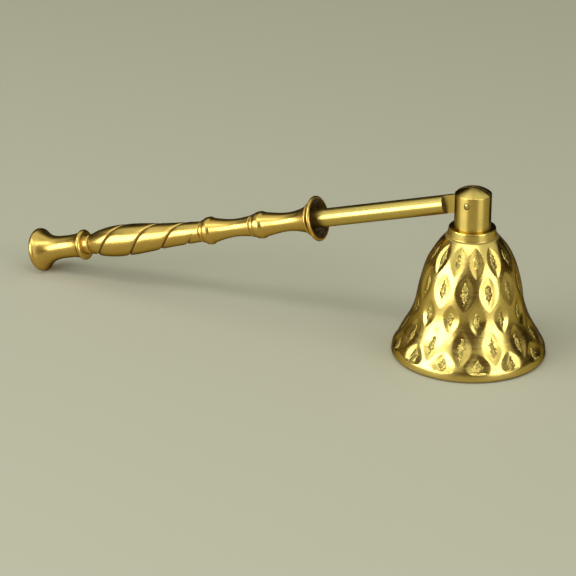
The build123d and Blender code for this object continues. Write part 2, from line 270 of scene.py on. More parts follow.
class StudioSettings(bpy.types.PropertyGroup):
    """Camera, floor and lamps."""

    lens: FloatProperty(name="Lens", description="Focal length", default=143.75, unit="CAMERA")
    azimuth: angle("Azimuth", "Way the camera looks, turned from straight back", 25.25)
    elevation: angle("Elevation", "Height of the camera above the floor", 23.48)
    distance: length("Distance", "Camera to the point it looks at", 798.3)
    aim_x: length("Aim X", "Where the camera looks, along the handle", -67.22)
    aim_z: length("Aim Z", "Where the camera looks, above the floor", 10.53)
    floor: colour("Floor", "Plain pale floor", (0.426, 0.379, 0.254))
    floor_size: length("Floor size", "Side of the square floor", 6000.0)
    room: colour("Room", "Dim room beside the lamps", (0.080, 0.045, 0.010))
    back: colour("Back", "Dark room behind the object", (0.010, 0.005, 0.002))
    ceiling: colour("Ceiling", "Pale ceiling that lights everything from above", (0.90, 1.0, 1.0))


# Outlines are arrays of (distance along the axis, radius) in metres

# Where the middle of a rounded right corner lies, as shares of its radius from its two ends
CORNER_NEAR, CORNER_FAR = 0.29, 0.71

# How many steps a corner's wear reaches to each side, and the turn that is worth one row of the mesh
WEAR_STEPS = 8
ROW_TURN = math.radians(9)


def straight(*points):
    """The points of a run of straight lines."""
    return np.array(points, float)


def curve_through(points, count=120):
    """A natural cubic spline through points, by the chord lengths between them.

    Its second derivatives solve the usual three-term equations with zero at both ends.
    """
    points = np.array(points, float)
    knots = np.append(0.0, np.cumsum(np.hypot(*np.diff(points, axis=0).T)))
    gaps = np.diff(knots)
    slopes = np.diff(points, axis=0) / gaps[:, None]
    system = np.diag(np.append(np.append(1.0, 2 * (gaps[:-1] + gaps[1:])), 1.0))
    inner = np.arange(1, len(points) - 1)
    system[inner, inner - 1] = gaps[:-1]
    system[inner, inner + 1] = gaps[1:]
    target = np.zeros_like(points)
    target[1:-1] = 6 * np.diff(slopes, axis=0)
    bend = np.linalg.solve(system, target)
    where = np.linspace(0, knots[-1], count)
    piece = np.clip(np.searchsorted(knots, where) - 1, 0, len(gaps) - 1)
    gap = gaps[piece][:, None]
    after = (where - knots[piece])[:, None] / gap
    before = 1 - after
    cubic = (before**3 - before) * bend[piece] + (after**3 - after) * bend[piece + 1]
    return before * points[piece] + after * points[piece + 1] + cubic * gap**2 / 6


def neck(start, end, start_slope, end_slope, count=40):
    """A cubic from start to end whose radius leaves and arrives at the given slopes."""
    (x0, r0), (x1, r1) = start, end
    t = np.linspace(0, 1, count)
    span = x1 - x0
    rise = (2 * t**3 - 3 * t**2 + 1) * r0 + (3 * t**2 - 2 * t**3) * r1
    rise += (t**3 - 2 * t**2 + t) * span * start_slope + (t**3 - t**2) * span * end_slope
    return np.column_stack([x0 + span * t, rise])


def waisted(front, waist, back, front_slope, back_slope):
    """Two necks that meet level at the narrowest point."""
    return np.vstack([neck(front, waist, front_slope, 0.0), neck(waist, back, 0.0, back_slope)])


def arc(start, middle, end, count=24):
    """The arc of a circle through three points.

    The centre is as far from each of them, which gives two linear equations for it.
    """
    (ax, ay), (bx, by), (cx, cy) = start, middle, end
    rows = np.array([[bx - ax, by - ay], [cx - ax, cy - ay]])
    sums = np.array([bx**2 - ax**2 + by**2 - ay**2, cx**2 - ax**2 + cy**2 - ay**2]) / 2
    centre = np.linalg.solve(rows, sums)
    turns = np.unwrap([math.atan2(y - centre[1], x - centre[0]) for x, y in (start, middle, end)])
    sweep = np.interp(np.linspace(0, 2, count), [0, 1, 2], turns)
    radius = math.hypot(ax - centre[0], ay - centre[1])
    return centre + radius * np.column_stack([np.cos(sweep), np.sin(sweep)])


def worn(outline, radius, row, closed=False, fine_length=0.0, fine_row=None):
    """The outline with its corners rounded to about the radius, its points spaced for a mesh.

    It is walked in even steps, each point becomes the raised-cosine average of its neighbours within
    the radius, and points are then kept by the distance run plus the turning done. An open outline
    starts and ends on the axis, and is averaged with its own mirror image there.
    """
    reach = WEAR_STEPS
    if closed:
        outline = np.vstack([outline, outline[:1]])
    run = np.append(0.0, np.cumsum(np.hypot(*np.diff(outline, axis=0).T)))
    steps = np.linspace(0, run[-1], int(run[-1] / radius * reach) + 1)
    even = np.column_stack([np.interp(steps, run, column) for column in outline.T])
    if closed:
        ahead, behind = even[-reach - 1:-1], even[1:reach + 1]
    else:
        ahead, behind = even[reach:0:-1] * (1, -1), even[-2:-reach - 2:-1] * (1, -1)
    weights = np.hanning(2 * reach + 3)[1:-1]
    padded = np.vstack([ahead, even, behind])
    smooth = np.column_stack([np.convolve(c, weights / weights.sum(), "valid") for c in padded.T])
    stride = np.diff(smooth, axis=0)
    heading = np.unwrap(np.arctan2(stride[:, 1], stride[:, 0]))
    turning = np.abs(np.gradient(heading))
    rows = np.where(steps[1:] < fine_length, fine_row or row, row)
    effort = np.append(0.0, np.cumsum(np.hypot(*stride.T) / rows + turning / ROW_TURN))
    kept = np.linspace(0, effort[-1], int(effort[-1]) + 1)
    chosen = np.column_stack([np.interp(kept, effort, column) for column in smooth.T])
    return chosen[:-1] if closed else chosen


def on_handle(distance, radius, turn):
    """Places on the handle: along it from the pin, out from its axis, turned from above to the front."""
    out = np.cos(turn)[..., None] * ABOVE + np.sin(turn)[..., None] * FRONT
    return PIVOT + distance[..., None] * ALONG + radius[..., None] * out


def upright(height, radius, turn):
    """Places round the bell's axis: up it, out from it, turned from +X towards +Y."""
    return np.stack([radius * np.cos(turn), radius * np.sin(turn), height + 0 * turn], axis=-1)


def across(distance, radius, turn):
    """Places round the pin: along +Y from its middle, out from it, turned from +X towards +Z."""
    x, z = PIVOT[0] + radius * np.cos(turn), PIVOT[2] + radius * np.sin(turn)
    return np.stack([x, distance + 0 * turn, z], axis=-1)


def grid_piece(name, points, closed=False, **marks):
    """A mesh object from a grid of points whose columns run round and close on themselves.

    Rows run along the outline, and close too where it is a ring. The UV map holds metres along the
    outline and turns round it. Each mark is a number for every point, kept as an attribute.
    """
    rows, columns = points.shape[:2]
    index = np.arange(rows * columns).reshape(rows, columns)
    index = np.hstack([index, index[:, :1]])
    ring = np.vstack([points, points[:1]]) if closed else points
    index = np.vstack([index, index[:1]]) if closed else index
    run = np.linalg.norm(np.diff(ring, axis=0), axis=2).mean(axis=1)
    reached = np.append(0.0, np.cumsum(run))[:, None] + np.zeros(columns + 1)
    round_it = np.linspace(0, 1, columns + 1) + np.zeros((len(index), 1))
    corners = [(slice(0, -1), slice(0, -1)), (slice(1, None), slice(0, -1))]
    corners += [(slice(1, None), slice(1, None)), (slice(0, -1), slice(1, None))]
    quads = np.stack([index[c] for c in corners], axis=-1).reshape(-1, 4)
    spots = np.stack([np.stack([reached[c], round_it[c]], axis=-1) for c in corners], axis=2)
    mesh = bpy.data.meshes.new(name)
    mesh.from_pydata(points.reshape(-1, 3), [], quads)
    mesh.uv_layers.new(name="Turned").uv.foreach_set("vector", spots.astype(np.float32).ravel())
    for mark, values in marks.items():
        attribute = mesh.attributes.new(mark, "FLOAT", "POINT")
        attribute.data.foreach_set("value", (values + np.zeros((rows, columns))).astype(np.float32).ravel())
    sealed(mesh)
    piece = bpy.data.objects.new(name, mesh)
    bpy.context.scene.collection.objects.link(piece)
    return piece


def sealed(mesh):
    """Joins the points that meet at poles, turns the faces outwards and shades them smooth."""
    work = bmesh.new()
    work.from_mesh(mesh)
    bmesh.ops.remove_doubles(work, verts=work.verts, dist=1e-7)
    bmesh.ops.recalc_face_normals(work, faces=work.faces)
    for face in work.faces:
        face.smooth = True
    work.to_mesh(mesh)
    work.free()


def turned(name, outline, place, columns=COLUMNS, closed=False, **marks):
    """A piece whose outline is carried round an axis by the place function."""
    turn = np.linspace(0, FULL_TURN, columns, endpoint=False)[None, :]
    points = place(outline[:, :1] + 0 * turn, outline[:, 1:] + 0 * turn, turn + 0 * outline[:, :1])
    return grid_piece(name, points, closed=closed, **marks)


def block(name, low, high, place):
    """A box between two corners, each corner moved by the place function."""
    steps = np.array([[x, y, z] for x in (0, 1) for y in (0, 1) for z in (0, 1)])
    corners = place(np.array(low) + steps * (np.array(high) - np.array(low)))
    faces = [(0, 1, 3, 2), (4, 6, 7, 5), (0, 4, 5, 1), (2, 3, 7, 6), (0, 2, 6, 4), (1, 5, 7, 3)]
    mesh = bpy.data.meshes.new(name)
    mesh.from_pydata(corners, [], faces)
    sealed(mesh)
    for polygon in mesh.polygons:
        polygon.use_smooth = False
    cutter = bpy.data.objects.new(name, mesh)
    bpy.context.scene.collection.objects.link(cutter)
    return cutter


def drill(half_length, radius):
    """A cylinder round the pin's axis, to cut the hole for the pin."""
    outline = straight((-half_length, 0), (-half_length, radius), (half_length, radius), (half_length, 0))
    return turned("hole", outline, across, columns=PIN_COLUMNS)


def paint_shade(piece, amount, chosen):
    """Paints shade: raises the recess mark to an amount on the chosen points, given as a test of their places."""
    places = np.zeros(len(piece.data.vertices) * 3, np.float32)
    piece.data.vertices.foreach_get("co", places)
    mark = piece.data.attributes["recess"].data
    values = np.zeros(len(piece.data.vertices), np.float32)
    mark.foreach_get("value", values)
    inside = chosen(places.reshape(-1, 3))
    mark.foreach_set("value", np.where(inside, np.maximum(values, amount), values).astype(np.float32))


def cut(piece, cutters, edge_round):
    """Cuts the cutters out of a piece, rounds the new edges and keeps the result as its mesh."""
    for cutter in cutters:
        boolean = piece.modifiers.new(cutter.name, "BOOLEAN")
        boolean.object = cutter
        boolean.solver = "EXACT"
    bevel = piece.modifiers.new("Worn edges", "BEVEL")
    bevel.width = edge_round
    bevel.segments = 3
    bevel.limit_method = "ANGLE"
    bevel.angle_limit = math.radians(40)
    bevel.harden_normals = True
    bpy.context.view_layer.update()
    finished = piece.evaluated_get(bpy.context.evaluated_depsgraph_get())
    mesh = bpy.data.meshes.new_from_object(finished)
    piece.modifiers.clear()
    old = piece.data
    piece.data = mesh
    mesh.name = old.name
    bpy.data.meshes.remove(old)
    for cutter in cutters:
        bpy.data.objects.remove(cutter)
    return piece


# Materials

# How many times the patterns repeat in a metre, about
CLOUDS = 90.0
SPECKS = 1400.0
GRIT = 850.0
SPOTS = 1300.0

# Depths of the pits and of the stipple
SPECK_DEPTH = 0.01 * MM
GRIT_DEPTH = 0.8 * MM


def joined(tree, kind, inputs, **settings):
    """A node with its settings, each input set to a value or joined to another node's output."""
    node = tree.nodes.new(kind)
    for key, value in settings.items():
        setattr(node, key, value)
    for socket, value in inputs.items():
        if isinstance(value, bpy.types.NodeSocket):
            tree.links.new(value, node.inputs[socket])
        else:
            node.inputs[socket].default_value = value
    return node


def bare_tree(owner):
    """The node tree of a new material or world, with nothing in it."""
    owner.use_nodes = True
    owner.node_tree.nodes.clear()
    return owner.node_tree


def marked(tree, name):
    """A number that the points of a piece carry."""
    return joined(tree, "ShaderNodeAttribute", {}, attribute_name=name).outputs["Fac"]


def blended(factor, first, second):
    """A colour between two, by a factor."""
    inputs = {0: factor}
    for socket, value in ((6, first), (7, second)):
        inputs[socket] = value if isinstance(value, bpy.types.NodeSocket) else (*value, 1.0)
    return joined(factor.id_data, "ShaderNodeMix", inputs, data_type="RGBA").outputs[2]


def worked(operation, first, second, clamp=False):
    """The result of one operation on two numbers, one or both of them from other nodes."""
    source = first if isinstance(first, bpy.types.NodeSocket) else second
    inputs = {0: first, 1: second}
    return joined(source.id_data, "ShaderNodeMath", inputs, operation=operation, use_clamp=clamp).outputs[0]


def plus(first, second, clamp=False):
    """The sum of two numbers, held between 0 and 1 where clamp says so."""
    return worked("ADD", first, second, clamp)


def minus(first, second, clamp=False):
    """The first number less the second, held between 0 and 1 where clamp says so."""
    return worked("SUBTRACT", first, second, clamp)


def times(first, second, clamp=False):
    """The product of two numbers, held between 0 and 1 where clamp says so."""
    return worked("MULTIPLY", first, second, clamp)


def unsigned(number):
    """A number without its sign."""
    return worked("ABSOLUTE", number, 0.0)


def ranged(value, low, high, to_low=0.0, to_high=1.0):
    """A number carried from one range to another and held there."""
    inputs = {"Value": value, 1: low, 2: high, 3: to_low, 4: to_high}
    return joined(value.id_data, "ShaderNodeMapRange", inputs).outputs[0]


def along(vector, direction):
    """How far a vector reaches along a direction."""
    inputs = {0: vector, 1: direction}
    return joined(vector.id_data, "ShaderNodeVectorMath", inputs, operation="DOT_PRODUCT").outputs["Value"]


def noise(vector, scale, detail=3.0, roughness=0.5):
    """A fractal noise on a set of coordinates."""
    inputs = {"Vector": vector, "Scale": scale, "Detail": detail, "Roughness": roughness}
    return joined(vector.id_data, "ShaderNodeTexNoise", inputs).outputs["Fac"]


def stretched(vector, scale):
    """Coordinates scaled by a different amount each way."""
    return joined(vector.id_data, "ShaderNodeMapping", {"Vector": vector, "Scale": scale}).outputs[0]


def bumped(height, depth, strength=1.0, under=None):
    """A normal tilted by a height, on top of another normal where one is given."""
    inputs = {"Strength": strength, "Distance": depth, "Height": height}
    if under is not None:
        inputs["Normal"] = under
    return joined(height.id_data, "ShaderNodeBump", inputs).outputs[0]


def brass(
    name, roughness, marks, mark_depth, anisotropy=0.0, warm=0.0, coat=0.12, turn_marks=0.0, stippled=False
):
    """Procedural brass: slow colour change, tarnishing and painted shade in recesses, fine tool marks and tiny
    pits.

    marks scales the UV map, along the outline and round it, for the noise that draws the tool marks.
    anisotropy is how much the gloss is stretched, and turn_marks the part of a turn by which it is
    turned. warm is the least share of the warm colour, and coat the roughness of the thin lacquer.
    Stippled brass is also rough and olive, in spots, where the core mark is high.
    """
    colours = bpy.context.scene.snuffer_colours
    material = bpy.data.materials.new(name)
    tree = bare_tree(material)
    place = joined(tree, "ShaderNodeTexCoord", {}).outputs
    recess = marked(tree, "recess")
    clouds = noise(place["Object"], CLOUDS, 4.0, 0.6)
    specks = noise(place["Object"], SPECKS, 2.0, 0.6)
    lines = noise(stretched(place["UV"], (*marks, 1.0)), 1.0, 3.0, 0.7)
    metal = blended(ranged(clouds, 0.35, 0.75, warm, warm + 0.5), colours.polished, colours.warm)
    # The recess mark blends in the near-black colour and more roughness: tarnishing down in grooves, painted shade
    # on cut faces, in hollows and inside the bell
    patchy = times(recess, ranged(specks, 0.2, 0.6, 0.75, 1.0), clamp=True)
    metal = blended(patchy, metal, colours.tarnish_and_shade_colour)
    gloss = ranged(clouds, 0.3, 0.7, roughness * 0.85, roughness * 1.2)
    gloss = plus(gloss, ranged(lines, 0.3, 0.7, -0.03, 0.04))
    gloss = plus(gloss, times(recess, 0.2), clamp=True)
    normal = bumped(specks, SPECK_DEPTH, 0.25, bumped(lines, mark_depth))
    if stippled:
        grit = noise(place["Object"], GRIT, 2.0, 0.55)
        spots = noise(place["Object"], SPOTS, 1.0, 0.5)
        core = ranged(plus(marked(tree, "core"), ranged(grit, 0.3, 0.7, -0.3, 0.3)), 0.3, 0.8)
        metal = blended(times(core, ranged(spots, 0.42, 0.60, 0.0, 0.85)), metal, colours.core)
        gloss = plus(gloss, times(core, 0.22), clamp=True)
        normal = bumped(times(core, grit), GRIT_DEPTH, 1.0, normal)
    tangent = joined(tree, "ShaderNodeTangent", {}, direction_type="UV_MAP", uv_map="Turned").outputs[0]
    shader = joined(
        tree,
        "ShaderNodeBsdfPrincipled",
        {
            "Base Color": metal,
            # Less metal where the tarnishing and painted shade are, so that they stay dark
            "Metallic": minus(1.0, times(recess, 0.8), clamp=True),
            "Roughness": gloss,
            "Specular IOR Level": 0.15,
            "Normal": normal,
            "Anisotropic": anisotropy,
            "Anisotropic Rotation": turn_marks,
            "Tangent": tangent,
            "Specular Tint": (*colours.edge, 1.0),
            "Coat Weight": 0.12,
            "Coat Roughness": coat,
            "Coat IOR": 1.48,
            "Coat Normal": normal,
        },
    )
    joined(tree, "ShaderNodeOutputMaterial", {"Surface": shader.outputs[0]})
    return material


def drawn_steel(name):
    """Plain drawn steel, with streaks along the handle, for the stud that nobody sees."""
    colours = bpy.context.scene.snuffer_colours
    material = bpy.data.materials.new(name)
    tree = bare_tree(material)
    place = joined(tree, "ShaderNodeTexCoord", {}).outputs["Object"]
    streaks = noise(stretched(place, (60.0, 3000.0, 3000.0)), 1.0)
    metal = blended(streaks, colours.steel, colours.bright_steel)
    gloss = ranged(streaks, 0.3, 0.7, 0.28, 0.42)
    inputs = {"Base Color": metal, "Metallic": 1.0, "Roughness": gloss}
    shader = joined(tree, "ShaderNodeBsdfPrincipled", inputs)
    joined(tree, "ShaderNodeOutputMaterial", {"Surface": shader.outputs[0]})
    return material


def finish_piece(piece, material, body, node):
    """Gives a piece its material and body, and hides the CAD node that it stands for."""
    piece.data.materials.clear()
    piece.data.materials.append(material)
    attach(piece, body)
    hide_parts(node)


# Its result goes into the recess mark: tarnishing and painted shade down in grooves
def hollows(outline, reach=1.2 * MM, full=0.35 * MM):
    """How deep each point of an outline lies in a groove, from 0 to 1.

    It is the highest radius within reach on both sides, the lower of the two, above the point.
    """
    distance, radius = outline.T
    near = np.abs(distance[:, None] - distance[None, :]) < reach
    before = np.where(near & (distance[None, :] < distance[:, None]), radius[None, :], 0).max(axis=1)
    after = np.where(near & (distance[None, :] > distance[:, None]), radius[None, :], 0).max(axis=1)
    depth = np.minimum(before, after) - radius
    return np.clip(depth / full, 0, 1)[:, None]


# The bell

# The flank from the rim up, as shares of the rim's radius and of the shoulder's height
FLANK_SHARES = (
    (0.998, 0.030), (0.984, 0.074), (0.952, 0.113), (0.885, 0.190), (0.796, 0.284),
    (0.729, 0.380), (0.662, 0.574), (0.581, 0.759), (0.515, 0.851), (0.431, 0.929),
)

# The rows of leaves from the top: how far up the flank, as a share, and a leaf's length and width in mm
LEAF_ROWS = (
    (0.853, 11.0, 5.4), (0.628, 12.4, 6.8), (0.427, 9.6, 6.2), (0.222, 12.0, 7.2), (0.088, 8.8, 9.0),
)

# How fast a leaf's depth falls to its sides and to its points
SIDE_POWER = 1.5
POINT_POWER = 1.2

# Where a leaf's stippled core starts, from 0 at the edge to 1 at the middle, and how far in it is full
CORE_START = 0.55
CORE_RISE = 0.4

# The bell's mesh: columns for each leaf, and the length of a row on the flank and elsewhere
LEAF_COLUMNS = 26
FLANK_ROW = 0.36 * MM
PLAIN_ROW = 0.8 * MM

# How dark the painted shade is in the corner under the collar and on the inside, and where the two start
CORNER_SHADE = 0.5
CORNER_REACH = 0.3 * MM
INSIDE_SHADE = 0.55
INSIDE_START = 10 * MM


def leaf_field(run, radius, turn, flank_length, sizes):
    """Depth of the leaves and the mark of their stippled cores, at places on the flank.

    Across a leaf the depth is a soft bell: one less the square of the share of its half width, to a
    power. Its half width and depth both fade to nothing at its two points. The core mark is 1 along
    a leaf's middle line and falls evenly to 0 about half way to its sides, and sooner near its points.
    """
    depth = np.zeros(np.broadcast(run, turn).shape)
    core = np.zeros_like(depth)
    pitch = FULL_TURN / sizes.leaf_count
    for number, (row_share, leaf_length, leaf_width) in enumerate(LEAF_ROWS):
        start = sizes.leaf_phase + pitch / 2 * (number % 2)
        aside = ((turn - start + pitch / 2) % pitch - pitch / 2) * radius
        endwise = run - row_share * flank_length
        half_length, half_width = leaf_length * MM / 2, leaf_width * MM / 2
        taper = np.clip(1 - (endwise / half_length) ** 2, 1e-6, 1)
        inside = np.clip(1 - (aside / (half_width * taper)) ** 2, 0, 1)
        leaf = np.where(taper > 1e-5, taper**POINT_POWER * inside**SIDE_POWER, 0)
        depth = np.maximum(depth, leaf)
        oval = taper - np.abs(aside) / half_width
        core = np.maximum(core, np.clip((oval - CORE_START) / CORE_RISE, 0, 1))
    return depth * sizes.leaf_depth, core


def make_bell(sizes, bore):
    """The bell: one closed outline carried round the axis, its flank sunk inwards by the leaves.

    The leaves end at the plain band round the rim.
    """
    rim_radius, top, rim_round = BELL_HIGH[0], BELL_HIGH[2], sizes.rim_round
    flank = [(height * sizes.shoulder_height, out * rim_radius) for out, height in FLANK_SHARES]
    flank.append((sizes.shoulder_height, sizes.shoulder_radius))
    inside = [(z - sizes.crown_drop, r - sizes.wall) for z, r in flank[2:]]
    foot = rim_radius - rim_round
    outer = curve_through(flank)
    flank_length = np.hypot(*np.diff(outer, axis=0).T).sum()
    outline = np.vstack(
        [
            outer,
            straight(
                (sizes.shoulder_height, sizes.collar_radius),
                (top, sizes.collar_radius - sizes.collar_taper),
                (top, bore),
                (inside[-1][0], bore),
            ),
            curve_through(inside[::-1]),
            straight((0, inside[0][1]), (0, foot)),
            arc(
                (0, foot),
                (rim_round * CORNER_NEAR, foot + rim_round * CORNER_FAR),
                (rim_round, rim_radius),
            ),
        ]
    )
    outline = worn(
        outline, sizes.corner_wear, PLAIN_ROW, closed=True, fine_length=flank_length, fine_row=FLANK_ROW
    )
    stride = np.roll(outline, -1, axis=0) - np.roll(outline, 1, axis=0)
    stride /= np.hypot(*stride.T)[:, None]
    run = np.append(0.0, np.cumsum(np.hypot(*np.diff(outline, axis=0).T)))[:, None]
    turn = np.linspace(0, FULL_TURN, LEAF_COLUMNS * sizes.leaf_count, endpoint=False)[None, :]
    height, radius = outline[:, :1] + 0 * turn, outline[:, 1:] + 0 * turn
    depth, core = leaf_field(run, radius, turn, flank_length, sizes)
    leafy = (run < flank_length) * np.clip((height - sizes.rim_band) / sizes.band_fade, 0, 1)
    depth *= leafy
    points = upright(height + depth * stride[:, 1:], radius - depth * stride[:, :1], turn + 0 * height)
    # Painted shade: darker in the corner under the collar and on the bell's inside
    corner = np.exp(-((height - sizes.shoulder_height) / CORNER_REACH) ** 2) * CORNER_SHADE
    recess = np.where(run > flank_length + INSIDE_START, INSIDE_SHADE, corner)
    return grid_piece("Leaf_bell", points, closed=True, recess=recess, core=core * leafy)


class SNUFFER_OT_bell(bpy.types.Operator):
    """Builds the leaf-cut bell"""

    bl_idname = "snuffer.bell"
    bl_label = "Bell"

    def execute(self, context):
        bore = context.scene.snuffer_post.spigot_radius + FIT_GAP
        piece = make_bell(context.scene.snuffer_bell, bore)
        material = brass(
            "Cast brass",
            roughness=0.235,
            marks=(900.0, 4.0),
            mark_depth=0.0015 * MM,
            coat=0.10,
            stippled=True,
        )
        finish_piece(piece, material, "bell_head", "bell")
        return {"FINISHED"}


class SNUFFER_OT_post(bpy.types.Operator):
    """Builds the slotted post and the pin through it"""

    bl_idname = "snuffer.post"
    bl_label = "Post and pin"

    def execute(self, context):
        sizes = context.scene.snuffer_post
        collar_top = BELL_HIGH[2]
        radius = POST_HIGH[0]
        shoulder = POST_HIGH[2] - sizes.dome_height
        sphere = (radius**2 + sizes.dome_height**2) / (2 * sizes.dome_height)
        half = radius / 2
        half_height = POST_HIGH[2] - sphere + math.sqrt(sphere**2 - half**2)
        outline = np.vstack(
            [
                arc((POST_HIGH[2], 0), (half_height, half), (shoulder, radius)),
                straight(
                    (collar_top, radius),
                    (collar_top, sizes.spigot_radius),
                    (POST_LOW[2] + sizes.spigot_chamfer, sizes.spigot_radius),
                    (POST_LOW[2], sizes.spigot_radius - sizes.spigot_chamfer),
                    (POST_LOW[2], 0),
                ),
            ]
        )
        outline = worn(outline, sizes.corner_wear, row=0.6 * MM)
        # Tarnishing and painted shade in the hollows
        post = turned("Slotted_post", outline, upright, columns=POST_COLUMNS, recess=hollows(outline))
        margin = radius + 1 * MM
        slot = block(
            "slot",
            (-margin, -sizes.slot_width / 2, collar_top + sizes.slot_floor),
            (margin, sizes.slot_width / 2, POST_HIGH[2] + 1 * MM),
            lambda corners: corners,
        )
        pin_radius = PIN_HIGH[0]
        hole_radius = pin_radius + sizes.pin_gap
        cut(post, [slot, drill(margin, hole_radius)], sizes.edge_round)
        # Painted shade on the slot's walls and in the pin's hole
        wall = sizes.slot_width / 2 + ON_CUT
        paint_shade(post, CUT_SHADE, lambda p: (np.abs(p[:, 1]) < wall) & (p[:, 2] > collar_top))
        ring = hole_radius + ON_CUT
        paint_shade(post, CUT_SHADE, lambda p: np.hypot(p[:, 0], p[:, 2] - PIVOT[2]) < ring)
        material = brass(
            "Turned post brass", roughness=0.30, marks=(2600.0, 6.0), mark_depth=0.006 * MM, anisotropy=0.85
        )
        finish_piece(post, material, "bell_head", "clevis_post")

        end = PIN_HIGH[1]
        edge = end - sizes.pin_dome
        halfway = end - sizes.pin_dome * sizes.pin_bulge
        outline = np.vstack(
            [
                arc((-end, 0), (-halfway, pin_radius / 2), (-edge, pin_radius)),
                arc((edge, pin_radius), (halfway, pin_radius / 2), (end, 0)),
            ]
        )
        outline = worn(outline, radius=0.12 * MM, row=0.8 * MM)
        pin = turned("Pivot_pin", outline, across, columns=PIN_COLUMNS, recess=0.0)
        material = brass("Filed pin brass", roughness=0.22, marks=(1500.0, 4.0), mark_depth=0.006 * MM)
        finish_piece(pin, material, "bell_head", "pivot_pin")
        return {"FINISHED"}


class SNUFFER_OT_fasteners(bpy.types.Operator):
    """Builds the washer and the nut inside the crown, and finishes the hidden stud"""

    bl_idname = "snuffer.fasteners"
    bl_label = "Washer, nut and stud"

    def execute(self, context):
        bore = context.scene.snuffer_post.spigot_radius + THREAD_GAP
        dull = brass(
            "Dull fastener brass", roughness=0.38, marks=(1800.0, 5.0), mark_depth=0.008 * MM, anisotropy=0.2
        )
        low, high, radius = WASHER_LOW[2], WASHER_HIGH[2], WASHER_HIGH[0]
        outline = straight((low, bore), (high, bore), (high, radius), (low, radius))
        outline = worn(outline, radius=0.2 * MM, row=0.5 * MM, closed=True)
        # A little darker all over, by the recess mark
        washer = turned("Crown_washer", outline, upright, NUT_COLUMNS, closed=True, recess=0.25)
        finish_piece(washer, dull, "bell_head", "crown_washer")
        nut = make_nut(bore)
        finish_piece(nut, dull, "bell_head", "crown_nut")
        stud = frame["nodes"]["tie_stud"]
        stud.data.materials.clear()
        stud.data.materials.append(drawn_steel("Drawn steel"))
        return {"FINISHED"}


def make_nut(bore):
    """A hexagon nut: the radius is the hexagon's, or less where the chamfer's cone or the bore says so.

    The hexagon's radius is half its width over the cosine of the angle from the nearest flat. The
    rows of the chamfer lie by shares of how far the corners stick out past the flats.
    """
    low, high = NUT_LOW[2], NUT_HIGH[2]
    flat = min(NUT_HIGH[0], NUT_HIGH[1])
    corner = flat / math.cos(math.pi / 6)
    chamfer = corner - flat
    heights = np.array([high, low + chamfer, low + chamfer * 0.7, low + chamfer * 0.3, low, low, high])
    limits = np.array([corner, corner, corner, corner - chamfer * 0.4, flat * 0.97, bore, bore])
    turn = np.linspace(0, FULL_TURN, NUT_COLUMNS, endpoint=False)[None, :]
    first_flat = 0.0 if NUT_HIGH[0] < NUT_HIGH[1] else math.pi / 6
    sixth = FULL_TURN / 6
    off_flat = (turn - first_flat + sixth / 2) % sixth - sixth / 2
    radius = np.minimum(flat / np.cos(off_flat), limits[:, None])
    points = upright(heights[:, None] + 0 * turn, radius, turn + 0 * heights[:, None])
    # A little darker all over, by the recess mark
    nut = grid_piece("Crown_nut", points, closed=True, recess=0.2)
    nut.data.set_sharp_from_angle(angle=math.radians(20))
    return nut


class SNUFFER_OT_rod(bpy.types.Operator):
    """Builds the round bar with its flat tongue"""

    bl_idname = "snuffer.rod"
    bl_label = "Rod"

    def execute(self, context):
        sizes = context.scene.snuffer_handle
        radius = sizes.rod_radius
        outline = np.vstack(
            [
                arc((-radius, 0), (-radius * math.sqrt(0.5), radius * math.sqrt(0.5)), (0, radius)),
                straight((sizes.rod_end, radius), (sizes.rod_end, 0)),
            ]
        )
        outline = worn(outline, radius=0.2 * MM, row=1.0 * MM)
        rod = turned("Rod", outline, on_handle, recess=0.0)
        cheeks = [
            block(
                "cheek",
                (-2 * radius, near, -2 * radius),
                (sizes.tongue_reach, far, 2 * radius),
                lambda c: PIVOT + c[:, :1] * ALONG + c[:, 1:2] * FRONT + c[:, 2:] * ABOVE,
            )
            for near, far in (
                (sizes.tongue_thickness / 2, 2 * radius),
                (-2 * radius, -sizes.tongue_thickness / 2),
            )
        ]
        cut(rod, [*cheeks, drill(radius, PIN_HIGH[0] + FIT_GAP)], sizes.tongue_round)
        # Painted shade on the rod's shoulder beside the tongue
        shoulder = sizes.tongue_reach
        paint_shade(rod, SHOULDER_SHADE, lambda p: np.abs((p - PIVOT) @ ALONG - shoulder) < 1.5 * ON_CUT)
        material = brass(
            "Drawn bar brass", roughness=0.29, marks=(30.0, 260.0), mark_depth=0.004 * MM, anisotropy=0.4
        )
        finish_piece(rod, material, "handle", "rod")
        return {"FINISHED"}


# The turned sleeves and the knob

SLEEVE_ROW = 0.5 * MM
# Distance over which the painted shade in the socket's mouth fades in
HOLLOW_FADE = 0.3 * MM


def open_seam(start, radius, bore, seam):
    """The front of a sleeve or the knob: a flat face and the groove's slope up to the radius."""
    return straight((start, bore), (start, radius - seam.groove), (start + seam.groove, radius))


def bead(start, foot, crest_at, crest, end, end_radius, count=20):
    """A bead: a soft rise to its crest, then the quarter of an ellipse down to its end.

    The rise is half a wave of a cosine, so it leaves its foot and reaches the crest level.
    """
    t = np.linspace(0, 1, count)
    wave = (1 - np.cos(math.pi * t)) / 2
    rise = np.column_stack([start + (crest_at - start) * t, foot + (crest - foot) * wave])
    turn = t[1:] * math.pi / 2
    fall = np.column_stack(
        [crest_at + (end - crest_at) * np.sin(turn), end_radius + (crest - end_radius) * np.cos(turn)]
    )
    return np.vstack([rise, fall])


def beaded_seam(end, bore, seam, sizes):
    """A bead, a collar, the groove's slope and the flat face at the end of a sleeve."""
    bead_end = end - seam.collar_length
    bead_start = bead_end - sizes.bead_length
    crest_at = bead_start + seam.crest * sizes.bead_length
    collar = seam.collar_radius
    return np.vstack(
        [
            bead(bead_start, sizes.tail_radius, crest_at, sizes.bead_radius, bead_end, collar),
            straight((end - seam.groove, collar), (end, collar - seam.groove), (end, bore)),
        ]
    )


